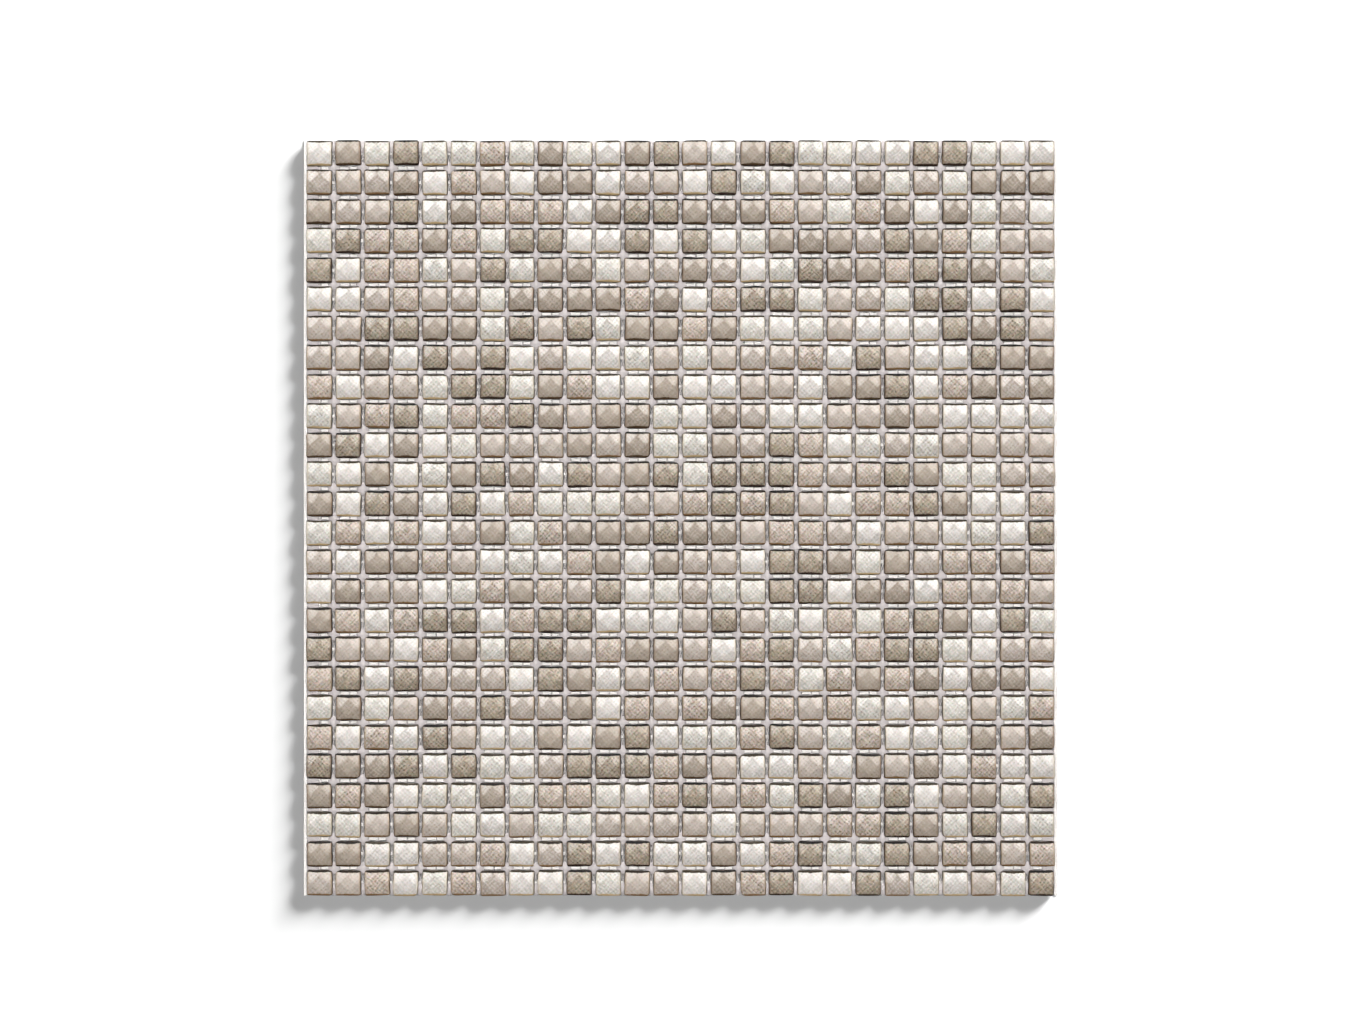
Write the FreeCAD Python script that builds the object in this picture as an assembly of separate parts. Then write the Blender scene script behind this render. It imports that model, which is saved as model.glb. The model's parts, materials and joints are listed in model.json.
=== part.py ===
"""A mesh-mounted ceramic mosaic sheet.

Square faceted chips in six glazes lie in a random mix on a leno-woven glass mesh, held by dots of white glue.
The sheet lies face up. X runs along a row of chips and Y up a column. The origin is under the sheet's middle,
on the plane that it rests on. All lengths are millimetres.
"""

import FreeCAD
import Part
import math
import os
import random

from FreeCAD import Vector

# The sheet: how many chips it has, and the joints between the chips' backs, grouted once the sheet is laid
columns = 26
rows = 26
chip_width = 10.2
joint_between_columns = 1.3
joint_between_rows = 1.42

# One chip: a flat back, walls that lean in so that it leaves the press, and a crown cut into flat facets
chip_thickness = 5.2
wall_lean = 0.2
crown_rise = 1.0
facet_diagonal = 6.5

# The press has several cavities, and each leaves its own radii at the four corners of the chip's back
cavity_corner_radii = (
    (0.9, 0.7, 1.0, 0.8),
    (0.7, 1.1, 0.8, 0.9),
    (1.3, 0.8, 0.7, 1.0),
    (0.8, 0.9, 1.8, 0.7),
    (1.0, 0.7, 1.1, 1.4),
)

# The chips are laid in a tray, where each has room to sit a little off its place and a little turned
place_slack = 0.17
turn_slack_degrees = 1.6

# The mix, as parts in a hundred, and the seed that deals it out
glaze_parts = {
    "taupe_smooth_chips": 18,
    "taupe_brushed_chips": 15,
    "beige_smooth_chips": 20,
    "beige_brushed_chips": 13,
    "cream_smooth_chips": 20,
    "cream_brushed_chips": 14,
}
mix_seed = 11

# The mesh: warp along Y and weft along X, two cells to a chip, cut just beyond the outer rows of chips
cells_per_chip = 2
mesh_thickness = 0.5
warp_width = 1.3
weft_width = 1.4
cut_margin = 0.2
panels_across = 3

# The glue: a dot wherever four chips meet, and one where two meet at the sheet's edge
glue_thickness = 0.3
glue_dot_diameter = 5.0

# Worked out from the sizes above
column_pitch = chip_width + joint_between_columns
row_pitch = chip_width + joint_between_rows
chips_half_x = (columns * column_pitch - joint_between_columns) / 2
chips_half_y = (rows * row_pitch - joint_between_rows) / 2
facet_step = facet_diagonal / 2
crown_curve = crown_rise / (chip_width / 2 - wall_lean) ** 2


def centred(count, step):
    """Places along a line, a step apart, with their middle at 0."""
    return [(number - (count - 1) / 2) * step for number in range(count)]


def polar(length, degrees):
    """A vector in the sheet's plane, from its length and its angle from X."""
    return Vector(math.cos(math.radians(degrees)), math.sin(math.radians(degrees)), 0) * length


def chip_outline(corner_radii, inset, height):
    """A chip's outline at a height, moved in by inset from its back's: a square with an arc at each corner."""
    arcs = []
    for quarter, radius in enumerate(corner_radii):
        start = 90 * quarter
        centre = polar((chip_width / 2 - radius) * math.sqrt(2), start + 45) + Vector(0, 0, height)
        arcs.append([centre + polar(radius - inset, start + turn) for turn in (0, 45, 90)])
    edges = []
    for arc, next_arc in zip(arcs, arcs[1:] + arcs[:1]):
        edges.append(Part.Arc(*arc).toShape())
        edges.append(Part.makeLine(arc[-1], next_arc[0]))
    return Part.Wire(edges)


def facet_cutters():
    """Blocks that leave the crown. Each stands on one facet's plane, which touches a shallow dome there.

    The facets are squares that stand on their corners, as far as the chip's outline leaves them whole.
    """
    reach = math.ceil(chip_width / facet_diagonal)
    side = 4 * chip_width
    cutters = []
    for i in range(-reach, reach + 1):
        for j in range(-reach, reach + 1):
            if (i + j) % 2 == 0:
                x, y = i * facet_step, j * facet_step
                touch = Vector(x, y, chip_thickness - crown_curve * (x * x + y * y))
                outward = Vector(2 * crown_curve * x, 2 * crown_curve * y, 1)
                block = Part.makeBox(side, side, side, Vector(-side / 2, -side / 2, 0))
                block.Placement = FreeCAD.Placement(touch, FreeCAD.Rotation(Vector(0, 0, 1), outward))
                cutters.append(block)
    return cutters


def pressed_chip(corner_radii, cutters):
    """One chip as it leaves its cavity, with the middle of its back at the origin."""
    back = chip_outline(corner_radii, 0, 0)
    front = chip_outline(corner_radii, wall_lean, chip_thickness)
    chip = Part.makeLoft([back, front], True, True)
    for cutter in cutters:
        chip = chip.cut(cutter)
    return chip.Solids[0]


def dealt_glazes(dealer):
    """A glaze for each chip of the sheet, in the parts of the mix and in a random order."""
    total = columns * rows
    glazes = []
    for glaze, parts in glaze_parts.items():
        glazes += [glaze] * math.ceil(total * parts / 100)
    dealer.shuffle(glazes)
    return glazes[:total]


def make_chips():
    """All the chips in their places on the glue, in one list of solids for each glaze."""
    dealer = random.Random(mix_seed)
    cutters = facet_cutters()
    cavities = [pressed_chip(radii, cutters) for radii in cavity_corner_radii]
    glazes = iter(dealt_glazes(dealer))
    chips = {glaze: [] for glaze in glaze_parts}
    for y in centred(rows, row_pitch):
        for x in centred(columns, column_pitch):
            off_x, off_y = (dealer.uniform(-place_slack, place_slack) for _ in "xy")
            turn = 90 * dealer.randrange(4) + dealer.uniform(-turn_slack_degrees, turn_slack_degrees)
            place = Vector(x + off_x, y + off_y, mesh_thickness + glue_thickness)
            chip = dealer.choice(cavities).copy()
            chip.Placement = FreeCAD.Placement(place, FreeCAD.Rotation(Vector(0, 0, 1), turn))
            chips[next(glazes)].append(chip)
    return chips


def flat_bar(left, right, front, back):
    """A flat rectangle on the resting plane."""
    return Part.makePlane(right - left, back - front, Vector(left, front, 0))


def panel_runs(lines, cell, end):
    """The mesh's lines, a cell apart, in a run for each panel, with where that panel starts and ends."""
    cuts = [round(len(lines) * number / panels_across) for number in range(panels_across + 1)]
    runs = []
    for first, after in zip(cuts, cuts[1:]):
        low = -end if first == 0 else lines[first] - cell / 2
        high = end if after == len(lines) else lines[after] - cell / 2
        runs.append((lines[first:after], low, high))
    return runs


def make_mesh():
    """The mesh in its panels: flat bars, fused where they cross. Panels meet halfway between two bars."""
    cell_x, cell_y = column_pitch / cells_per_chip, row_pitch / cells_per_chip
    warps = centred(columns * cells_per_chip + 1, cell_x)
    wefts = centred(rows * cells_per_chip - 1, cell_y)
    warp_runs = panel_runs(warps, cell_x, warps[-1] + warp_width / 2)
    weft_runs = panel_runs(wefts, cell_y, chips_half_y + cut_margin)
    panels = {}
    for across, (warp_run, left, right) in enumerate(warp_runs, 1):
        for up, (weft_run, front, back) in enumerate(weft_runs, 1):
            bars = [flat_bar(x - warp_width / 2, x + warp_width / 2, front, back) for x in warp_run]
            bars += [flat_bar(left, right, y - weft_width / 2, y + weft_width / 2) for y in weft_run]
            flat = bars[0].multiFuse(bars[1:]).removeSplitter()
            panels[f"mesh_panel_{across}_{up}"] = flat.extrude(Vector(0, 0, mesh_thickness)).Solids[0]
    return panels


def make_glue():
    """The glue dots, on the mesh and under the chips: those at the edge keep within the outer chips."""
    radius = glue_dot_diameter / 2
    joints_x = centred(columns - 1, column_pitch)
    joints_y = centred(rows - 1, row_pitch)
    edge_x, edge_y = chips_half_x - radius, chips_half_y - radius
    spots = [(x, y) for x in joints_x for y in joints_y]
    spots += [(x, y) for x in (-edge_x, edge_x) for y in joints_y]
    spots += [(x, y) for x in joints_x for y in (-edge_y, edge_y)]
    return [Part.makeCylinder(radius, glue_thickness, Vector(x, y, mesh_thickness)) for x, y in spots]


def main():
    os.makedirs("parts", exist_ok=True)
    nodes = {name: Part.Compound(chips) for name, chips in make_chips().items()}
    nodes.update(make_mesh())
    nodes["glue_dots"] = Part.Compound(make_glue())
    for name, shape in nodes.items():
        shape.exportStep(f"parts/{name}.step")
        print(name, "has", len(shape.Solids), "solids and", round(shape.Volume, 1), "cubic millimetres")


main()
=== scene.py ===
# %% [markdown]
# # A mosaic sheet on glass mesh
#
# A mosaic sheet is hundreds of small ceramic chips, laid out in a tray and glued to a woven glass mesh, so
# that a tiler can bed them all at once. The chips' real sizes and places come from a measured model, which
# this lesson loads first and never moves. The lesson gives each part its finished shape and its surface.

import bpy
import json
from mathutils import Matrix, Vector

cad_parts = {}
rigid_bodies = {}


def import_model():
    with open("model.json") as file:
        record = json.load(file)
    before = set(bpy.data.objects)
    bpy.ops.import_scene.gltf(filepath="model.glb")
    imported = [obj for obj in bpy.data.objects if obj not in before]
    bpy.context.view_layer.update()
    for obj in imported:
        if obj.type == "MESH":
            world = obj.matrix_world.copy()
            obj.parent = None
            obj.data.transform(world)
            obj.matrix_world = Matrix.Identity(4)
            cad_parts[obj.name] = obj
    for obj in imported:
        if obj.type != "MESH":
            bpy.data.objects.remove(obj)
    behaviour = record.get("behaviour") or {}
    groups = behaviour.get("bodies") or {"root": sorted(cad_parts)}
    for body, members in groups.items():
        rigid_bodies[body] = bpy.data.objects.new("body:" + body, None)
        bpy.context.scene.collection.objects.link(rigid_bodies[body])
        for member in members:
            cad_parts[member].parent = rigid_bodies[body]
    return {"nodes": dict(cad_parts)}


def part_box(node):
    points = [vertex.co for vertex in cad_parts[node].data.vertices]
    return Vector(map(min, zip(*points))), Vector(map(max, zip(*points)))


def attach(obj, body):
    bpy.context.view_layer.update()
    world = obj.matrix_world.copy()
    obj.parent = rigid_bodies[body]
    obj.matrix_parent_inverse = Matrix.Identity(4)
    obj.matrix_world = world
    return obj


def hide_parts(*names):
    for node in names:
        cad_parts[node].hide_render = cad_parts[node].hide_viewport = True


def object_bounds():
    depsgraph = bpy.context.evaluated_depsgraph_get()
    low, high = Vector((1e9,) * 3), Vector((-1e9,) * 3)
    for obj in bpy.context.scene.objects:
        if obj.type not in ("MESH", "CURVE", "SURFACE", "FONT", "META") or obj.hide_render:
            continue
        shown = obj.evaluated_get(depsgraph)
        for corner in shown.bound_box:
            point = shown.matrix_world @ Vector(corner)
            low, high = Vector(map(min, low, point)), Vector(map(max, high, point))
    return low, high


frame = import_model()
measured_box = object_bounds()
print("The sheet's box in metres:", measured_box)

# %% Tools
import json
import math

import bmesh
import bpy
import numpy as np
from mathutils import Vector

MM = 0.001
quarter_turn = math.pi / 2
scene = bpy.context.scene
low_corner, high_corner = (Vector(corner) for corner in measured_box)
sheet_middle = (low_corner + high_corner) / 2
face_height = high_corner.z

# %% [markdown]
# ## The camera
#
# The photograph looks straight down on the sheet. Chips near its left edge show their right walls, and
# chips near its right edge their left walls, so the camera was near enough for some perspective, though
# rows at the top and bottom show hardly any. This height lies between the two. The lens then follows from
# how much of the floor the picture takes in.

# %% Place the camera
picture_width = 1361
picture_pixels_per_metre = 2516
camera_height = 2.2

view_width = picture_width / picture_pixels_per_metre
camera_data = bpy.data.cameras.new("overhead_camera")
camera_data.lens = camera_data.sensor_width * camera_height / view_width
camera = bpy.data.objects.new("overhead_camera", camera_data)
camera.location = (sheet_middle.x, sheet_middle.y, face_height + camera_height)
scene.collection.objects.link(camera)
scene.camera = camera
print("The picture is", round(view_width, 3), "metres wide")
print("The lens is", round(camera_data.lens, 1), "mm long")

# %% [markdown]
# ## Nodes from a short helper
#
# Geometry trees and materials are both made of nodes, and scripts that make nodes get long. So the first
# helper adds one node, sets its options, and gives each input either a value or the output of an earlier
# node. The others are its short forms, for the kinds of node that come back most often.


# %% Helpers for nodes
noise_middle = 0.5
noise_spread = (0.3, 0.7)


def node(tree, kind, inputs=None, **options):
    """Adds a node to a tree. Each of inputs is a plain value, or another node's output to be wired in."""
    made = tree.nodes.new(kind)
    for name, value in options.items():
        setattr(made, name, value)
    for name, value in (inputs or {}).items():
        if isinstance(value, bpy.types.NodeSocket):
            tree.links.new(value, made.inputs[name])
        else:
            made.inputs[name].default_value = value
    return made


def maths(tree, operation, *values):
    """The output of one Math node."""
    return node(tree, "ShaderNodeMath", dict(enumerate(values)), operation=operation).outputs[0]


def vector_maths(tree, operation, first, second):
    """The output of one Vector Math node. Second is a vector, or a number for SCALE."""
    inputs = {0: first, "Scale" if operation == "SCALE" else 1: second}
    return node(tree, "ShaderNodeVectorMath", inputs, operation=operation).outputs[0]


def vector_from(tree, parts):
    """A vector from its parts X, Y and Z. A part that isn't given is 0."""
    return node(tree, "ShaderNodeCombineXYZ", parts).outputs[0]


def parts_of(tree, vector):
    """The X, Y and Z of a vector."""
    return node(tree, "ShaderNodeSeparateXYZ", {"Vector": vector}).outputs


def noise(tree, places, size, detail=1.0, output="Fac"):
    """Noise from 0 to 1, whose blots are about as large as size."""
    inputs = {"Vector": places, "Scale": 1 / size, "Detail": detail}
    return node(tree, "ShaderNodeTexNoise", inputs).outputs[output]


def uneven(tree, places, size, detail=1.0):
    """Noise that goes both ways from 0."""
    return maths(tree, "SUBTRACT", noise(tree, places, size, detail), noise_middle)


def uneven_vector(tree, places, size):
    """Noise that goes both ways from 0 along each of X, Y and Z."""
    coloured = noise(tree, places, size, output="Color")
    return vector_maths(tree, "SUBTRACT", coloured, [noise_middle] * 3)


# %% [markdown]
# ## Where every chip lies
#
# The measured model holds each chip as a closed solid, in one node for each glaze, a little off its place
# and a little turned, as real ones are. The finished chips have to lie in just those places, so they are
# read off the solids: first the mesh is parted into its separate solids, then the flat back of each tells
# where its middle is, how far it is turned and how round its four corners are.


# %% Part a node into its solids
def solids_of(name):
    """The corner points of each separate solid in a measured node."""
    mesh = frame["nodes"][name].data
    points = np.empty(len(mesh.vertices) * 3)
    mesh.vertices.foreach_get("co", points)
    points, same = np.unique(points.reshape(-1, 3), axis=0, return_inverse=True)
    corners = np.empty(len(mesh.loops), int)
    mesh.loops.foreach_get("vertex_index", corners)
    triangles = same.ravel()[corners].reshape(-1, 3)
    label = np.arange(len(points))
    while True:
        lowered = label.copy()
        np.minimum.at(lowered, triangles, label[triangles].min(axis=1)[:, None])
        if (lowered == label).all():
            break
        label = lowered
    return [points[label == one] for one in np.unique(label)]


# %% Read a chip's place off its back
def read_chip(points):
    """A chip's middle, its turn and its corner radii. The radii start at the corner between +X and +Y."""
    flat = 0.001 * MM
    radius_decimals = 5
    back_height = points[:, 2].min()
    back = np.unique(points[points[:, 2] < back_height + flat, :2], axis=0)
    away = back - back.mean(axis=0)
    outline = back[np.argsort(np.arctan2(away[:, 1], away[:, 0]))]
    steps = np.roll(outline, -1, axis=0) - outline
    front, right, rear, left = np.sort(np.argsort(np.hypot(*steps.T))[-4:])
    turn = math.atan2(*steps[front][::-1])
    axes = np.array([[math.cos(turn), math.sin(turn)], [-math.sin(turn), math.cos(turn)]])
    across = outline @ axes.T
    middle = (across.max(axis=0) + across.min(axis=0)) / 2 @ axes
    half = np.ptp(across[:, 0]) / 2
    radii = []
    for side in (right, rear, left, front):
        direction = steps[side] / np.hypot(*steps[side])
        side_end = outline[(side + 1) % len(outline)]
        radii.append(round(half - (side_end - middle) @ direction, radius_decimals))
    return {"place": (*middle, back_height), "turn": turn, "radii": tuple(radii), "half": half}


glazes = [name for name in sorted(frame["nodes"]) if name.endswith("_chips")]
chips = {name: [read_chip(points) for points in solids_of(name)] for name in glazes}
print({name: len(found) for name, found in chips.items()})

# %% [markdown]
# Chips that left the press from the same cavity have the same four corner radii, only turned by some
# quarter turns. So the radii are turned until they start at the smallest: equal lists then mean the same
# cavity.


# %% Sort the chips by cavity
def sort_by_cavity(chip):
    """Turns a chip's four radii to their smallest order, and adds the quarter turns to its turn."""
    orders = [chip["radii"][start:] + chip["radii"][:start] for start in range(4)]
    chip["radii"] = min(orders)
    chip["turn"] += orders.index(chip["radii"]) * quarter_turn


every_chip = [chip for found in chips.values() for chip in found]
for chip in every_chip:
    sort_by_cavity(chip)
cavities = sorted({chip["radii"] for chip in every_chip})
for chip in every_chip:
    chip["cavity"] = cavities.index(chip["radii"])

half_chip = every_chip[0]["half"]
chip_height = np.ptp(solids_of(glazes[0])[0][:, 2])
print(len(cavities), "cavities, with these corner radii in millimetres:")
print([[round(radius / MM, 2) for radius in radii] for radii in cavities])

# %% [markdown]
# ## The shape of a chip
#
# A chip's walls lean in so that it leaves the press, and its crown is cut into flat facets, like a shallow
# cut gem: a square that stands on its corners, and eight more around it. Each facet's plane touches a low
# dome, so one rule gives the height anywhere: the lowest of the planes. The crown starts as one flat face
# inside the rounded outline. It is cut along the facet lines and then lifted, which keeps every facet
# flat. Glaze rounds each edge when it melts, so the rim gets a shoulder and the facet lines a bevel. Glaze
# also runs thin there and ends on the walls, so each point is told how bare of glaze it is: 0 on the
# crown, 1 at the top of the walls and 2 at their foot. A chip is repeated hundreds of times, so it has no
# more faces than its outline needs.

# %% Sizes of the crown and its edges
wall_lean = 0.2 * MM
crown_rise = 1.0 * MM
facet_step = 3.25 * MM
facet_reach = 2
shoulder = 0.4 * MM
facet_softness = 0.6 * MM
corner_steps = 2
crown_curve = crown_rise / (half_chip - wall_lean) ** 2
facet_numbers = range(-facet_reach, facet_reach + 1)
crown_spots = [
    (i * facet_step, j * facet_step)
    for i in facet_numbers
    for j in facet_numbers
    if (i + j) % 2 == 0
]
half_side_facet = half_chip - wall_lean - shoulder - facet_step
print("The facets are", round(2 * facet_step / MM, 2), "mm from corner to corner")


def crown_height(x, y):
    """How high the crown stands over the chip's back."""
    drops = [crown_curve * (2 * (cx * x + cy * y) - cx * cx - cy * cy) for cx, cy in crown_spots]
    return chip_height - max(drops)


def chip_ring(radii, inset):
    """Points around a chip, moved in from its outline.

    Each side has two more, where facet lines meet the rim.
    """
    points = []
    for quarter, radius in enumerate(radii):
        heading = quarter_turn * (quarter + 1)
        ahead = Vector((math.cos(heading), math.sin(heading)))
        aside = Vector((ahead.y, -ahead.x))
        centre = (ahead + aside) * (half_chip - radius)
        for step in range(corner_steps + 1):
            angle = quarter_turn * step / corner_steps
            points.append(centre + (aside * math.cos(angle) + ahead * math.sin(angle)) * (radius - inset))
        side = ahead * (half_chip - inset)
        points += [side + aside * half_side_facet, side - aside * half_side_facet]
    return points


# %% Build one chip for each cavity
def join_rings(shape, rings):
    """Joins each ring of corners to the one above it, and closes the lowest."""
    for below, above in zip(rings, rings[1:]):
        for n in range(len(below)):
            shape.faces.new((below[n - 1], below[n], above[n], above[n - 1]))
    shape.faces.new(reversed(rings[0]))


def smooth_mesh(name, shape):
    """Turns a finished shape into a mesh with smooth shading."""
    mesh = bpy.data.meshes.new(name)
    shape.to_mesh(mesh)
    shape.free()
    mesh.shade_smooth()
    return mesh


def cut_crown(shape):
    """Cuts the flat crown along the facet lines. Only the crown's own faces and edges are cut."""
    tiny = 0.001 * MM
    top = chip_height - tiny
    for slant in (1, -1):
        for place in (-facet_step, facet_step):
            crown = [f for f in shape.faces if all(v.co.z > top for v in f.verts)]
            parts = set(crown) | {e for f in crown for e in f.edges} | {v for f in crown for v in f.verts}
            bmesh.ops.bisect_plane(
                shape, geom=list(parts), dist=tiny, plane_co=(place, 0, 0), plane_no=(1, slant, 0)
            )
    return [v for v in shape.verts if v.co.z > top]


def chip_mesh(radii):
    """A closed chip with its middle at the origin and its back at height 0."""
    shape = bmesh.new()
    bareness = shape.verts.layers.float.new("bare")
    rims = [crown_height(*point) for point in chip_ring(radii, wall_lean + shoulder)]
    flat_back = [0] * len(rims)
    wall_top = [rim - shoulder for rim in rims]
    flat_crown = [chip_height] * len(rims)
    rings = []
    for inset, heights, bare in (
        (0, flat_back, 2),
        (wall_lean, wall_top, 1),
        (wall_lean + shoulder, flat_crown, 0),
    ):
        ring = []
        for point, height in zip(chip_ring(radii, inset), heights):
            corner = shape.verts.new((*point, height))
            corner[bareness] = bare
            ring.append(corner)
        rings.append(ring)
    join_rings(shape, rings)
    shape.faces.new(rings[-1])
    crown = set(cut_crown(shape))
    for corner in crown:
        corner.co.z = crown_height(corner.co.x, corner.co.y)
    facet_lines = [e for e in shape.edges if all(set(f.verts) <= crown for f in e.link_faces)]
    bmesh.ops.bevel(
        shape,
        geom=facet_lines,
        offset=facet_softness,
        segments=1,
        profile=0.5,
        affect="EDGES",
        clamp_overlap=True,
    )
    mesh = smooth_mesh("chip", shape)
    places = mesh.attributes.new("on_chip", "FLOAT_VECTOR", "POINT")
    places.data.foreach_set("vector", [value for v in mesh.vertices for value in v.co])
    return mesh


def fill_press(name, meshes):
    """A collection with an object for each mesh, for a geometry tree to pick from."""
    press = bpy.data.collections.new(name)
    scene.collection.children.link(press)
    for number, mesh in enumerate(meshes):
        press.objects.link(bpy.data.objects.new(f"{name}_{number}", mesh))
    return press


def clear_press(press):
    """Removes a collection and its objects, once a tree has used them."""
    for used in list(press.objects):
        bpy.data.objects.remove(used)
    bpy.data.collections.remove(press)


chip_press = fill_press("chip_press", [chip_mesh(radii) for radii in cavities])

# %% [markdown]
# ## Laying the chips
#
# Geometry Nodes are made for this: one instance on each point, picked from the press by its number. The
# tree's inputs name what may be changed, and its random numbers have a fixed seed. Each chip keeps a tone
# and a seed of its own, because no two chips take the glaze quite alike. Noise then pushes every point a
# little about, because no chip leaves the press and the kiln quite true. The tree ends in Realize
# Instances and Set Material.


# %% The tree that lays chips
still_ends = 1.0 * MM
chip_waver_size = 5 * MM


def start_tree(name, inputs):
    """A geometry tree with named inputs: a kind of socket and a default for each."""
    tree = bpy.data.node_groups.new(name, "GeometryNodeTree")
    tree.interface.new_socket("Geometry", in_out="OUTPUT", socket_type="NodeSocketGeometry")
    tree.interface.new_socket("Geometry", in_out="INPUT", socket_type="NodeSocketGeometry")
    for label, (kind, value) in inputs.items():
        socket = tree.interface.new_socket(label, in_out="INPUT", socket_type=kind)
        if value is not None:
            socket.default_value = value
    return tree, node(tree, "NodeGroupInput").outputs


def geometry_node(tree, kind, inputs=None, **options):
    """What one geometry node makes, which is its first output."""
    return node(tree, "GeometryNode" + kind, inputs, **options).outputs[0]


def read_attribute(tree, name, kind):
    """The output of a Named Attribute node."""
    return geometry_node(tree, "InputNamedAttribute", {"Name": name}, data_type=kind)


def store_attribute(tree, geometry, name, kind, value, domain):
    """Geometry that also carries a value, under a name, for each of its points or instances."""
    inputs = {"Geometry": geometry, "Name": name, "Value": value}
    return geometry_node(tree, "StoreNamedAttribute", inputs, data_type=kind, domain=domain)


def end_tree(tree, geometry, material):
    """Turns instances into real mesh, gives it its material and sends it out."""
    real = geometry_node(tree, "RealizeInstances", {"Geometry": geometry})
    finished = geometry_node(tree, "SetMaterial", {"Geometry": real, "Material": material})
    node(tree, "NodeGroupOutput", {"Geometry": finished})


def push_about(tree, geometry, size, amount):
    """Pushes points a little about in the sheet's plane, but not along Y at the two ends of the sheet."""
    real = geometry_node(tree, "RealizeInstances", {"Geometry": geometry})
    place = geometry_node(tree, "InputPosition")
    from_middle = maths(tree, "ABSOLUTE", parts_of(tree, place)["Y"])
    inside = maths(tree, "LESS_THAN", from_middle, high_corner.y - still_ends)
    level = vector_from(tree, {"X": 1.0, "Y": inside})
    waver = vector_maths(tree, "MULTIPLY", uneven_vector(tree, place, size), level)
    push = vector_maths(tree, "SCALE", waver, amount)
    return geometry_node(tree, "SetPosition", {"Geometry": real, "Offset": push})


def make_laying_tree():
    """Lays a chip on each point, with a tone and a seed of its own."""
    tree, given = start_tree(
        "lay_chips",
        {
            "Press": ("NodeSocketCollection", None),
            "Seed": ("NodeSocketInt", 0),
            "Waver": ("NodeSocketFloat", 0.0),
            "Material": ("NodeSocketMaterial", None),
        },
    )
    children = {"Collection": given["Press"], "Separate Children": True, "Reset Children": True}
    laid = geometry_node(
        tree,
        "InstanceOnPoints",
        {
            "Points": given["Geometry"],
            "Instance": geometry_node(tree, "CollectionInfo", children),
            "Pick Instance": True,
            "Instance Index": read_attribute(tree, "cavity", "INT"),
            "Rotation": vector_from(tree, {"Z": read_attribute(tree, "turn", "FLOAT")}),
        },
    )
    # A Random Value node has sockets for each kind of value: 2 and 3 are a number's lowest and highest
    seeded = {"Seed": given["Seed"]}
    tone = node(tree, "FunctionNodeRandomValue", {2: -1.0, 3: 1.0, **seeded}, data_type="FLOAT")
    seed = node(tree, "FunctionNodeRandomValue", seeded, data_type="FLOAT_VECTOR")
    laid = store_attribute(tree, laid, "chip_tone", "FLOAT", tone.outputs[1], "INSTANCE")
    laid = store_attribute(tree, laid, "chip_seed", "FLOAT_VECTOR", seed.outputs[0], "INSTANCE")
    end_tree(tree, push_about(tree, laid, chip_waver_size, given["Waver"]), given["Material"])
    return tree


laying_tree = make_laying_tree()
print("The laying tree has", len(laying_tree.nodes), "nodes")


# %% Helpers that run a tree and keep its result
def point_mesh(name, places, **values):
    """A mesh of loose points, with an attribute for each of values."""
    mesh = bpy.data.meshes.new(name)
    mesh.from_pydata([tuple(place) for place in places], [], [])
    for label, numbers in values.items():
        kind = "INT" if isinstance(numbers[0], int) else "FLOAT"
        mesh.attributes.new(label, kind, "POINT").data.foreach_set("value", numbers)
    return mesh


def grow(name, mesh, tree, inputs, weigh_normals=False):
    """Runs a tree on a mesh and returns the result as a piece of plain mesh."""
    piece = bpy.data.objects.new(name, mesh)
    scene.collection.objects.link(piece)
    modifier = piece.modifiers.new("tree", "NODES")
    modifier.node_group = tree
    for socket in tree.interface.items_tree:
        if socket.in_out == "INPUT" and socket.name in inputs:
            modifier[socket.identifier] = inputs[socket.name]
    if weigh_normals:
        piece.modifiers.new("flat facets", "WEIGHTED_NORMAL").keep_sharp = True
    graph = bpy.context.evaluated_depsgraph_get()
    grown = piece.evaluated_get(graph)
    plain = bpy.data.meshes.new_from_object(grown, preserve_all_data_layers=True, depsgraph=graph)
    piece.modifiers.clear()
    piece.data = plain
    plain.name = name
    triangles = sum(len(face.vertices) - 2 for face in plain.polygons)
    print(name, "has", triangles, "triangles")
    return piece


# %% [markdown]
# ## The glazes
#
# Three colours of glaze, each in a smooth and a brushed kind. Where it runs thin over the rim and down the
# walls, such a glaze breaks brown, and at the foot of the walls the pale porcelain is bare. Painted shade
# is laid along each chip's top and bottom in the picture as a dark line, darkest at the top, and more
# softly along its bottom and two sides. Both kinds of glaze carry a cross hatch from corner to corner, as
# if drawn with a stiff brush, fainter on the smooth kind. Its dark strokes are browner than its pale ones.
# The patterns are read from each chip's own coordinates and moved by its seed, so no chip repeats its
# neighbour, and its tone makes the whole chip a little lighter or darker, and duller or glossier.


# %% Helpers for materials
def colour(red, green, blue):
    """A shader colour from screen values between 0 and 255, by the curve that screens share."""
    scaled = [value / 255 for value in (red, green, blue)]
    return tuple(v / 12.92 if v <= 0.04045 else ((v + 0.055) / 1.055) ** 2.4 for v in scaled) + (1.0,)


def attribute(tree, name, output="Fac"):
    """One output of a node that reads a named attribute."""
    return node(tree, "ShaderNodeAttribute", attribute_name=name).outputs[output]


def turned_about_z(tree, vector, angle):
    """A vector turned about Z."""
    inputs = {"Vector": vector, "Angle": angle}
    return node(tree, "ShaderNodeVectorRotate", inputs, rotation_type="Z_AXIS").outputs[0]


def mix(tree, share, first, second):
    """The output of a colour Mix node: first where share is 0, second where it is 1."""
    # A Mix node has sockets for each kind of value: inputs 6 and 7 and output 2 are the colours
    inputs = {"Factor": share, 6: first, 7: second}
    return node(tree, "ShaderNodeMix", inputs, data_type="RGBA").outputs[2]


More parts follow.
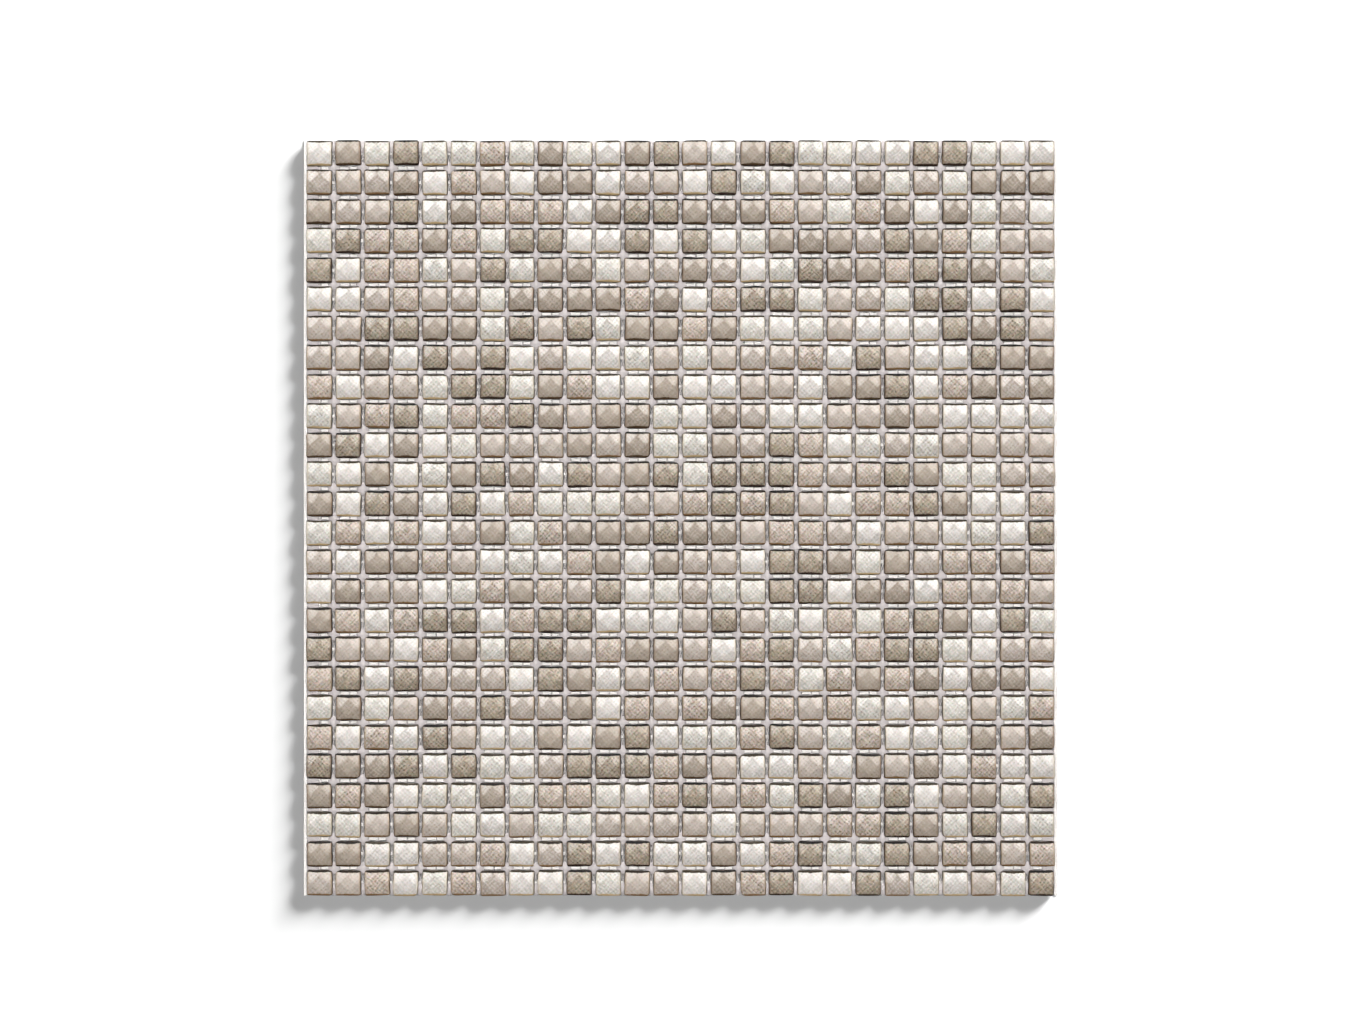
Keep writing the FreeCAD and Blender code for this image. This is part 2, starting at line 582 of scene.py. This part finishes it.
def ramp(tree, value, low, high, out_low=0.0, out_high=1.0):
    """A value taken smoothly from one range to another, and held at its ends."""
    inputs = {"Value": value, "From Min": low, "From Max": high, "To Min": out_low, "To Max": out_high}
    return node(tree, "ShaderNodeMapRange", inputs, interpolation_type="SMOOTHSTEP").outputs[0]


def add_relief(tree, shader, pattern, depth, strength):
    """Lets the highest places of a pattern stand up by a depth."""
    inputs = {"Strength": strength, "Distance": depth, "Height": pattern}
    tree.links.new(node(tree, "ShaderNodeBump", inputs).outputs["Normal"], shader.inputs["Normal"])


def start_material(name):
    """An empty material, with its tree and its Principled shader."""
    material = bpy.data.materials.new(name)
    material.use_nodes = True
    tree = material.node_tree
    return material, tree, tree.nodes["Principled BSDF"]


# %% Brush strokes
stroke_angle = math.radians(45)
stroke_spacing = 1.35 * MM
stroke_wobble = 1.5 * MM
wobble_size = 3.0 * MM
stroke_length = 1.2 * MM
stroke_comes = (0.35, 0.65)
strongest_stroke = 1.3
hatch_contrast = 0.6


def strokes(tree, places, angle, seed_shift):
    """Brush strokes at an angle across each chip: wavering lines that come and go, to both sides of 0."""
    moved = vector_maths(tree, "ADD", places, (seed_shift, 0, 0))
    across = parts_of(tree, turned_about_z(tree, moved, angle))["X"]
    wavering = maths(tree, "MULTIPLY_ADD", noise(tree, moved, wobble_size), stroke_wobble, across)
    line = maths(tree, "SINE", maths(tree, "MULTIPLY", wavering, 2 * math.pi / stroke_spacing))
    pressed = ramp(tree, noise(tree, moved, stroke_length), *stroke_comes, 0.0, strongest_stroke)
    return maths(tree, "MULTIPLY", line, pressed)


def cross_hatch(tree, places):
    """Strokes from corner to corner, both ways."""
    rising = strokes(tree, places, stroke_angle, 0.0)
    falling = strokes(tree, places, -stroke_angle, 1.0)
    return maths(tree, "MULTIPLY", maths(tree, "ADD", rising, falling), hatch_contrast)


# %% [markdown]
# Four patterns: two tell where the glaze is thin or has ended, and two where painted shade lies along the
# rim. Each pair of numbers below says where one of them starts and where it is complete. The first two
# pairs count in bareness, from 0 on the crown to 2 at the foot of the walls, and so does the fading of the
# painted dark line. The others are distances from the chip's middle.

# %% Where the glaze is thin, and where the rim's painted shade lies
crown_half = half_chip - wall_lean
rim_raggedness = 0.8
rim_thins = (0.3, 0.9)
glaze_ends = (1.5, 1.9)
line_bow = 0.3 * MM
line_raggedness = 0.5 * MM
line_reach = (crown_half - 0.66 * MM, crown_half - 0.38 * MM)
line_fades = (1.0, 1.5)
line_left = 0.2
soft_raggedness = 0.6 * MM
soft_reach = (crown_half - 0.9 * MM, crown_half + 0.3 * MM)
soft_shade_strength = 0.6


def thin_and_bare(tree, blots):
    """Where glaze has run thin over the rim and where it has ended on the walls, with ragged edges."""
    torn = maths(tree, "SUBTRACT", blots, noise_middle)
    ragged = maths(tree, "MULTIPLY_ADD", torn, rim_raggedness, attribute(tree, "bare"))
    return ramp(tree, ragged, *rim_thins), ramp(tree, ragged, *glaze_ends)


def painted_shade_line(tree, chip_x, chip_y, blots):
    """Painted shade at the chip's front and rear: a dark, bowed line that fades out down the wall."""
    outwards = maths(tree, "POWER", maths(tree, "DIVIDE", chip_x, half_chip), 2)
    bow = maths(tree, "MULTIPLY", outwards, line_bow)
    reach = maths(tree, "SUBTRACT", maths(tree, "ABSOLUTE", chip_y), bow)
    reach = maths(tree, "MULTIPLY_ADD", blots, line_raggedness, reach)
    fading = ramp(tree, attribute(tree, "bare"), *line_fades, 1.0, line_left)
    return maths(tree, "MULTIPLY", ramp(tree, reach, *line_reach), fading)


def soft_painted_shade(tree, chip_x, chip_y, blots):
    """Painted shade, softer, near the chip's front and its two sides."""
    outwards = maths(tree, "MAXIMUM", maths(tree, "ABSOLUTE", chip_x), maths(tree, "MULTIPLY", chip_y, -1.0))
    ragged = maths(tree, "MULTIPLY_ADD", blots, soft_raggedness, outwards)
    return ramp(tree, ragged, *soft_reach, 0.0, soft_shade_strength)


# %% [markdown]
# On the face, the glaze's own colour is multiplied by a tint. The strokes and a mottling change its blue
# most and its red least, so dark places turn brown, and small hints lean to pink or green. The tint is
# also a little lighter or darker from chip to chip and from place to place, and painted shade darkens it
# towards the front. Along the painted dark line the edge colour shows, nearly black at the chip's rear.
# Thin glaze, the painted shade along the rim and the pale strokes are duller than the rest, and the pale
# strokes stand up a little.

# %% The glaze's colour and gloss
blot_size = 1.2 * MM
mottle_size = 1.5 * MM
mottle_contrast = 2.4
hint_size = 0.7 * MM
hint_shares = (1.0, 0.5, 0.9)
stroke_shares = (1.0, 1.06, 1.2)
cloud_size = 4 * MM
cloud_contrast = 0.2
tone_contrast = 0.08
# Painted shade: the face darkens towards the chip's front, the bottom of the picture.
painted_front_shade = -0.14
painted_front_shade_width = 1.5 * MM
middle_width = 2 * MM
# The painted dark line is lightest at the chip's front and darkest at its rear, the top of the picture.
front_lightness = 1.4
rear_lightness = 0.1
stroke_roughness = 0.08
tone_roughness = 0.08
thin_roughness = 0.5
stroke_depth = 0.09 * MM
porcelain = colour(202, 198, 202)


def face_colour(tree, places, chip_y, hatching, face, hatch, hints):
    """The colour of the face: hatched and mottled, with hints of other colours, uneven lightness and painted
    shade towards the front.
    """
    mottle = uneven(tree, places, mottle_size, detail=2.0)
    patchy = maths(tree, "MULTIPLY_ADD", mottle, mottle_contrast, hatching)
    drawn = vector_maths(tree, "SCALE", stroke_shares, maths(tree, "MULTIPLY", patchy, hatch))
    hint_strengths = [share * hints for share in hint_shares]
    hint = vector_maths(tree, "MULTIPLY", uneven_vector(tree, places, hint_size), hint_strengths)
    light = maths(tree, "MULTIPLY_ADD", attribute(tree, "chip_tone"), tone_contrast, 1.0)
    light = maths(tree, "MULTIPLY_ADD", uneven(tree, places, cloud_size), cloud_contrast, light)
    # Painted shade towards the chip's front.
    shade = ramp(tree, chip_y, -crown_half, painted_front_shade_width - crown_half, painted_front_shade, 0.0)
    light = maths(tree, "ADD", light, shade)
    tint = vector_maths(tree, "ADD", drawn, hint)
    tint = vector_maths(tree, "ADD", tint, vector_maths(tree, "SCALE", (1, 1, 1), light))
    return vector_maths(tree, "MULTIPLY", tint, face[:3])


def make_glaze(name, face, rim, edge, hatch, hints, roughness):
    """A glaze, from its colours on the face, where it is thin and under the soft painted shade (rim), and
    along the painted dark line (edge).
    """
    material, tree, shader = start_material(name)
    on_chip = attribute(tree, "on_chip", "Vector")
    places = vector_maths(tree, "ADD", on_chip, attribute(tree, "chip_seed", "Vector"))
    chip_x, chip_y, _ = parts_of(tree, turned_about_z(tree, on_chip, attribute(tree, "turn")))
    blots = noise(tree, places, blot_size)
    hatching = cross_hatch(tree, places)
    glazed = face_colour(tree, places, chip_y, hatching, face, hatch, hints)

    thin, foot = thin_and_bare(tree, blots)
    # A dark line of painted shade along the chip's top and bottom in the picture.
    line = painted_shade_line(tree, chip_x, chip_y, blots)
    # Softer painted shade along the front and sides; from here on the thin mask holds painted shade with
    # thin glaze.
    thin = maths(tree, "MAXIMUM", maths(tree, "MAXIMUM", thin, line), soft_painted_shade(tree, chip_x, chip_y, blots))
    # The painted line's colour goes from light at the front to nearly black at the rear.
    lightness = ramp(tree, chip_y, -middle_width / 2, middle_width / 2, front_lightness, rear_lightness)
    painted_line_colour = vector_maths(tree, "SCALE", edge[:3], lightness)
    broken_and_shaded = mix(tree, thin, glazed, mix(tree, line, rim, painted_line_colour))
    tree.links.new(mix(tree, foot, broken_and_shaded, porcelain), shader.inputs["Base Color"])

    rough = maths(tree, "MULTIPLY_ADD", attribute(tree, "chip_tone"), tone_roughness, roughness)
    rough = maths(tree, "MULTIPLY_ADD", hatching, stroke_roughness, rough)
    rough = maths(tree, "MULTIPLY_ADD", thin, thin_roughness, rough)
    tree.links.new(rough, shader.inputs["Roughness"])
    add_relief(tree, shader, hatching, depth=hatch * stroke_depth, strength=1.0)
    return material


# %% Mix the six glazes
smooth = {"hatch": 0.14, "hints": 0.3, "roughness": 0.33}
brushed = {"hatch": 0.34, "hints": 0.7, "roughness": 0.37}
brushed_cream = {"hatch": 0.22, "hints": 0.4, "roughness": 0.37}
# Each rim colour shows where the glaze is thin and under the soft painted shade; each edge colour is that of
# the painted dark line.
taupe = {"rim": colour(134, 109, 83), "edge": colour(60, 42, 24)}
dark_taupe = {"rim": colour(106, 83, 58), "edge": colour(38, 24, 14)}
beige = {"rim": colour(175, 153, 125), "edge": colour(104, 78, 50)}
cream = {"rim": colour(211, 198, 175), "edge": colour(156, 134, 98)}
glaze_materials = {
    "taupe_smooth": make_glaze("taupe smooth glaze", colour(157, 145, 132), **taupe, **smooth),
    "taupe_brushed": make_glaze("taupe brushed glaze", colour(151, 139, 123), **dark_taupe, **brushed),
    "beige_smooth": make_glaze("beige smooth glaze", colour(175, 164, 154), **beige, **smooth),
    "beige_brushed": make_glaze("beige brushed glaze", colour(170, 157, 145), **beige, **brushed),
    "cream_smooth": make_glaze("cream smooth glaze", colour(200, 194, 188), **cream, **smooth),
    "cream_brushed": make_glaze("cream brushed glaze", colour(193, 188, 180), **cream, **brushed_cream),
}
print("Mixed", len(glaze_materials), "glazes")

# %% Lay the chips of each glaze
chip_waver = 0.8 * MM
for number, name in enumerate(glazes):
    glaze = name.removesuffix("_chips")
    found = chips[name]
    points = point_mesh(
        name + "_points",
        [chip["place"] for chip in found],
        turn=[chip["turn"] for chip in found],
        cavity=[chip["cavity"] for chip in found],
    )
    inputs = {"Press": chip_press, "Seed": number, "Waver": chip_waver, "Material": glaze_materials[glaze]}
    laid = grow(glaze + "_tiles", points, laying_tree, inputs, weigh_normals=True)
    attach(laid, "root")
    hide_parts(name)

clear_press(chip_press)

# %% [markdown]
# ## The glass mesh
#
# The mesh is a leno weave. Its warp, up the sheet, is pairs of glass yarns. One yarn of a pair always
# passes over the flat weft yarns and its partner always under them, and they swing across each other in
# between, which keeps the weft from sliding. In the measured model both are flat bars. Here the upper yarn
# is a flattened tube along a wave, and its partner is the same tube turned half a turn about the pair's
# axis: that mirrors the wave and puts it below. A little noise pushes the whole weave out of true, so the
# yarns are cut a little short to stay within the sheet. The outermost warp on each side is soaked in glue
# and pressed flat, so it is drawn as one straight white strip.

# %% The weave's sizes, from the measured glue dots and panels
cells_per_chip = 2
joint_decimals = 6
panels = sorted(name for name in frame["nodes"] if name.startswith("mesh_panel_"))
weave_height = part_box(panels[0])[1].z
dots = solids_of("glue_dots")
dot_places = [(*(dot.min(axis=0) + dot.max(axis=0))[:2] / 2, dot[:, 2].min()) for dot in dots]


def joints_along(axis):
    """Where joints lie across an axis. The outermost dots lie at the sheet's edge and not in a joint."""
    return sorted({round(place[axis], joint_decimals) for place in dot_places})[1:-1]


def cell_size(joints):
    """How far apart the yarns are, from the joints."""
    return (joints[-1] - joints[0]) / (len(joints) - 1) / cells_per_chip


def centred(count, step):
    """Places along a line, a step apart, with their middle at 0."""
    return [(number - (count - 1) / 2) * step for number in range(count)]


joints_x, joints_y = joints_along(0), joints_along(1)
cell_x, cell_y = cell_size(joints_x), cell_size(joints_y)
warp_lines = centred(cells_per_chip * (len(joints_x) + 1) + 1, cell_x)
weft_lines = centred(cells_per_chip * (len(joints_y) + 1) - 1, cell_y)
print(len(warp_lines), "warp lines and", len(weft_lines), "weft lines,", round(cell_x / MM, 3), "mm apart")


# %% The tree that weaves
weave_waver_size = 15 * MM


def make_weaving_tree():
    """Draws a yarn or a crossing pair along Y through each point, and pushes it a little out of true."""
    tree, given = start_tree(
        "weave",
        {
            "Length": ("NodeSocketFloat", 0.3),
            "Segments": ("NodeSocketInt", 100),
            "Wave": ("NodeSocketFloat", 0.006),
            "Swing": ("NodeSocketFloat", 0.0),
            "Lift": ("NodeSocketFloat", 0.0),
            "Yarn width": ("NodeSocketFloat", 0.001),
            "Yarn thickness": ("NodeSocketFloat", 0.0002),
            "Sides": ("NodeSocketInt", 6),
            "Pair": ("NodeSocketBool", True),
            "Turn": ("NodeSocketFloat", 0.0),
            "Waver": ("NodeSocketFloat", 0.0001),
            "Material": ("NodeSocketMaterial", None),
        },
    )
    half = maths(tree, "MULTIPLY", given["Length"], 0.5)
    start = vector_from(tree, {"Y": maths(tree, "MULTIPLY", half, -1.0)})
    end = vector_from(tree, {"Y": half})
    place = geometry_node(tree, "InputPosition")
    line = geometry_node(tree, "CurvePrimitiveLine", {"Start": start, "End": end})
    line = geometry_node(tree, "ResampleCurve", {"Curve": line, "Count": given["Segments"]})
    turns = maths(tree, "MULTIPLY", parts_of(tree, place)["Y"], 2 * math.pi)
    phase = maths(tree, "DIVIDE", turns, given["Wave"])
    sideways = maths(tree, "MULTIPLY", maths(tree, "COSINE", phase), given["Swing"])
    wave = vector_from(tree, {"X": sideways, "Z": given["Lift"]})
    line = geometry_node(tree, "SetPosition", {"Geometry": line, "Offset": wave})
    line = geometry_node(tree, "SetCurveNormal", {"Curve": line}, mode="Z_UP")

    circle = geometry_node(tree, "CurvePrimitiveCircle", {"Resolution": given["Sides"], "Radius": 0.5})
    marked = store_attribute(tree, circle, "across", "FLOAT", parts_of(tree, place)["X"], "POINT")
    flatness = vector_from(tree, {"X": given["Yarn width"], "Y": given["Yarn thickness"], "Z": 1.0})
    section = geometry_node(tree, "Transform", {"Geometry": marked, "Scale": flatness})
    swept = {"Curve": line, "Profile Curve": section, "Fill Caps": True}
    yarn = geometry_node(tree, "CurveToMesh", swept)
    partner = geometry_node(tree, "Transform", {"Geometry": yarn, "Rotation": (0, math.pi, 0)})
    both = node(tree, "GeometryNodeJoinGeometry", {"Geometry": yarn})
    tree.links.new(partner, both.inputs["Geometry"])

    choice = {"Switch": given["Pair"], "False": yarn, "True": both.outputs[0]}
    laid = {
        "Points": given["Geometry"],
        "Instance": geometry_node(tree, "Switch", choice),
        "Rotation": vector_from(tree, {"Z": given["Turn"]}),
    }
    woven = geometry_node(tree, "InstanceOnPoints", laid)
    end_tree(tree, push_about(tree, woven, weave_waver_size, given["Waver"]), given["Material"])
    return tree


weaving_tree = make_weaving_tree()
print("The weaving tree has", len(weaving_tree.nodes), "nodes")


# %% Glass yarn
filament_width = 0.12 * MM
filament_length = 4 * MM
filament_depth = 0.03 * MM
filament_shades = (0.88, 1.04)
# Painted shade along a yarn's edges starts and is complete at these parts of its width.
painted_edge_shade = (0.36, 0.50)
yarn_roughness = 0.55


def make_yarn(name, tint, edge, along):
    """Glass yarn: filaments that run along X or Y, and painted shade along its edges, where one yarn lies
    against the next.
    """
    material, tree, shader = start_material(name)
    places = node(tree, "ShaderNodeTexCoord").outputs["Object"]
    fine, slow = 1 / filament_width, 1 / filament_length
    stretch = (slow, fine, fine) if along == "X" else (fine, slow, fine)
    filaments = noise(tree, vector_maths(tree, "MULTIPLY", places, stretch), 1.0)
    lit = vector_maths(tree, "SCALE", tint[:3], ramp(tree, filaments, *noise_spread, *filament_shades))
    # Painted shade along both edges of the yarn.
    edge_shade = ramp(tree, maths(tree, "ABSOLUTE", attribute(tree, "across")), *painted_edge_shade)
    tree.links.new(mix(tree, edge_shade, lit, edge), shader.inputs["Base Color"])
    shader.inputs["Roughness"].default_value = yarn_roughness
    add_relief(tree, shader, filaments, depth=filament_depth, strength=0.5)
    return material


# The warp is the same glass yarn as the weft but drawn greyer: painted shade, on top of the lamp's, for the
# joints that run up the picture. Each yarn's edge colour is painted shade where yarns meet.
warp_material = make_yarn("warp yarn", colour(208, 202, 200), colour(86, 73, 66), "Y")
weft_material = make_yarn("weft yarn", colour(254, 250, 246), colour(225, 216, 210), "X")

# %% Weave the warp
weave_waver = 0.3 * MM
strand_width = 0.66 * MM
strand_thickness = 0.17 * MM
strand_swing = 0.40 * MM
strand_lift = 0.155 * MM
steps_per_wave = 8
warp_cut = 1.5 * weave_waver
warp_length = high_corner.y - low_corner.y - warp_cut
panel_columns = sorted({name.rsplit("_", 1)[0] for name in panels})
for number, column in enumerate(panel_columns):
    own_panels = [name for name in panels if name.startswith(column)]
    left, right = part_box(own_panels[0])[0].x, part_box(own_panels[0])[1].x
    own_lines = [x for x in warp_lines[1:-1] if left < x < right]
    warp = grow(
        f"warp_yarns_{number + 1}",
        point_mesh("warp_points", [(x, 0, weave_height / 2) for x in own_lines]),
        weaving_tree,
        {
            "Length": warp_length,
            "Segments": steps_per_wave * len(weft_lines) + 1,
            "Wave": cell_y,
            "Swing": strand_swing,
            "Lift": strand_lift,
            "Yarn width": strand_width,
            "Yarn thickness": strand_thickness,
            "Sides": 5,
            "Waver": weave_waver,
            "Material": warp_material,
        },
    )
    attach(warp, "root")
    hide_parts(*own_panels)

# %% Weave the weft
weft_width = 1.4 * MM
weft_thickness = 0.14 * MM
weft_steps_per_cell = 2
weft_cut = 4 * weave_waver
weft_length = high_corner.x - low_corner.x - weft_cut
weft = grow(
    "weft_yarns",
    point_mesh("weft_points", [(0, y, weave_height / 2) for y in weft_lines]),
    weaving_tree,
    {
        "Length": weft_length,
        "Segments": weft_steps_per_cell * len(warp_lines) + 1,
        "Yarn width": weft_width,
        "Yarn thickness": weft_thickness,
        "Sides": 6,
        "Pair": False,
        "Turn": quarter_turn,
        "Waver": weave_waver,
        "Material": weft_material,
    },
)
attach(weft, "root")

# %% Lay the two side strips
strips = grow(
    "side_strips",
    point_mesh("strip_points", [(x, 0, weave_height / 2) for x in (warp_lines[0], warp_lines[-1])]),
    weaving_tree,
    {
        "Length": warp_length,
        "Segments": 2,
        "Yarn width": 2 * (high_corner.x - warp_lines[-1]),
        "Yarn thickness": weave_height,
        "Sides": 8,
        "Pair": False,
        "Waver": 0.0,
        "Material": weft_material,
    },
)
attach(strips, "root")

# %% [markdown]
# ## The glue
#
# A dot of white glue sits wherever chips meet. Between the chips it stands up a little, because it wets
# their corners. One profile, spun once around, makes the drop, and the geometry tree that laid the chips
# lays the drops as well: its press then holds the drop alone.

# %% White glue
ripple_size = 1.5 * MM
ripple_depth = 0.08 * MM
glue_colour = colour(210, 203, 202)
glue_shades = (0.94, 1.0)
glue_roughness = 0.6


def make_glue():
    """White glue: nearly even, with a soft gloss and a faintly rippled skin."""
    material, tree, shader = start_material("white glue")
    places = node(tree, "ShaderNodeTexCoord").outputs["Object"]
    skin = noise(tree, places, ripple_size, detail=3.0)
    shade = ramp(tree, skin, *noise_spread, *glue_shades)
    lit = vector_maths(tree, "SCALE", glue_colour[:3], shade)
    tree.links.new(lit, shader.inputs["Base Color"])
    shader.inputs["Roughness"].default_value = glue_roughness
    add_relief(tree, shader, skin, depth=ripple_depth, strength=0.4)
    return material


glue_material = make_glue()

# %% Spin one drop
drop_steps = 12
dot_radius = np.ptp(dots[0][:, 0]) / 2
dot_height = np.ptp(dots[0][:, 2])
dot_top_radius = 0.96 * dot_radius
open_radius = 1.4 * MM
drop_rise = 0.5 * MM
swell_radius = 0.55 * open_radius
swell_rise = 0.6 * drop_rise


def drop_mesh():
    """A closed drop: a flat disc with a rise in the middle, where no chip covers it."""
    profile = [
        (dot_radius, 0),
        (dot_top_radius, dot_height),
        (open_radius, dot_height),
        (swell_radius, dot_height + swell_rise),
    ]
    angles = [2 * math.pi * n / drop_steps for n in range(drop_steps)]
    shape = bmesh.new()
    rings = []
    for radius, height in profile:
        corners = [(radius * math.cos(angle), radius * math.sin(angle), height) for angle in angles]
        rings.append([shape.verts.new(corner) for corner in corners])
    join_rings(shape, rings)
    tip = shape.verts.new((0, 0, dot_height + drop_rise))
    for n in range(drop_steps):
        shape.faces.new((rings[-1][n - 1], rings[-1][n], tip))
    return smooth_mesh("drop", shape)


# %% Lay the drops
drop_waver = 0.5 * MM
drop_seed = 7
drop_press = fill_press("drop_press", [drop_mesh()])
points = point_mesh("dot_points", dot_places, turn=[0.0] * len(dots), cavity=[0] * len(dots))
inputs = {"Press": drop_press, "Seed": drop_seed, "Waver": drop_waver, "Material": glue_material}
drops = grow("glue_drops", points, laying_tree, inputs)
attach(drops, "root")
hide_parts("glue_dots")
clear_press(drop_press)

# %% [markdown]
# ## Floor and light
#
# The picture's ground is white paper. In the photograph the joints that run across the picture are bright
# and those that run up it are grey. A long lamp straight above, lying across the picture, does just that:
# it reaches the bottom of a joint that runs the same way, and is cut off by the walls of the others. It is
# left out of reflections, so that it draws no bright spot on the chips' flat tops. Two soft ones at the
# upper left and right are for reflections alone: each stands where the upper facets on its side mirror it,
# and lays the pale sheen on them, while the thin glaze along the chips' upper edges mirrors neither and
# stays dark. A low one beyond the top of the picture lights the upper facets and leaves the lower ones
# darker.
#
# The chips are lit evenly from left and right, and yet the sheet's shadow falls to the lower left. So the
# paper has a lamp of its own at the upper right, in place of the low one. Light linking tells each of the
# two what it lights. The paper is a dark one under a strong lamp: where the lamp reaches it, it comes out
# white all the same, and the shadow is as deep as in the photograph.

# %% Floor
floor_size = 6.0
paper_grey = 0.34
paper_roughness = 0.9
paper_glow = 0.05
floor_half = floor_size / 2
floor_signs = ((-1, -1), (1, -1), (1, 1), (-1, 1))
floor_corners = [(x * floor_half, y * floor_half, low_corner.z) for x, y in floor_signs]
floor_mesh = bpy.data.meshes.new("floor")
floor_mesh.from_pydata(floor_corners, [], [(0, 1, 2, 3)])
floor = bpy.data.objects.new("floor", floor_mesh)
scene.collection.objects.link(floor)
paper, paper_tree, paper_shader = start_material("white paper")
paper_shader.inputs["Base Color"].default_value = (paper_grey, paper_grey, paper_grey, 1)
paper_shader.inputs["Roughness"].default_value = paper_roughness
paper_shader.inputs["Specular IOR Level"].default_value = 0.0
seen = node(paper_tree, "ShaderNodeLightPath").outputs["Is Camera Ray"]
glow = maths(paper_tree, "MULTIPLY", seen, paper_glow)
paper_shader.inputs["Emission Color"].default_value = (1, 1, 1, 1)
paper_tree.links.new(glow, paper_shader.inputs["Emission Strength"])
floor_mesh.materials.append(paper)
print("The floor is", floor_size, "metres wide")


# %% Lamps
def soft_lamp(name, share, lean, heading, distance, size):
    """A rectangular lamp aimed at the sheet. Its share is how bright it alone makes white paper lying flat.

    It leans away from the vertical towards a heading, where 0 is along X and 90 along Y.
    """
    data = bpy.data.lights.new(name, "AREA")
    data.shape = "RECTANGLE"
    data.size, data.size_y = size
    lean, heading = math.radians(lean), math.radians(heading)
    data.energy = share * math.pi**2 * distance**2 / math.cos(lean)
    lamp = bpy.data.objects.new(name, data)
    away = Vector((math.sin(lean) * math.cos(heading), math.sin(lean) * math.sin(heading), math.cos(lean)))
    lamp.location = sheet_middle + away * distance
    lamp.rotation_euler = away.to_track_quat("Z", "Y").to_euler()
    scene.collection.objects.link(lamp)
    print(name, "gives", round(data.energy, 1), "watts")
    return lamp


overhead = soft_lamp("overhead_lamp", share=0.92, lean=0, heading=90, distance=2.3, size=(1.25, 0.17))
overhead.visible_glossy = False
for heading in (45, 135):
    name = f"sheen_lamp_{heading}"
    sheen = soft_lamp(name, share=0.68, lean=46, heading=heading, distance=3.0, size=(1.6, 1.6))
    sheen.visible_diffuse = False
low_lamp = soft_lamp("low_lamp", share=0.33, lean=67, heading=90, distance=3.0, size=(0.9, 0.4))
low_lamp.visible_glossy = False
paper_lamp = soft_lamp("paper_lamp", share=2.5, lean=70, heading=45, distance=5.0, size=(1.8, 1.8))

for lamp, state in ((low_lamp, "EXCLUDE"), (paper_lamp, "INCLUDE")):
    lit = bpy.data.collections.new(lamp.name + "_paper")
    lit.objects.link(floor)
    lit.collection_objects[0].light_linking.link_state = state
    lamp.light_linking.receiver_collection = lit

# %% The room around
room_light = 0.05
room_seen = 1.0
world = bpy.data.worlds.new("studio")
world.use_nodes = True
scene.world = world
backdrop = world.node_tree.nodes["Background"]
seen = node(world.node_tree, "ShaderNodeLightPath").outputs["Is Camera Ray"]
inputs = {"Value": seen, "To Min": room_light, "To Max": room_seen}
strength = node(world.node_tree, "ShaderNodeMapRange", inputs).outputs[0]
world.node_tree.links.new(strength, backdrop.inputs["Strength"])
backdrop.inputs["Color"].default_value = (1, 1, 1, 1)
scene.view_settings.view_transform = "Standard"
print("The room gives", room_light, "of the light and looks white to the camera")
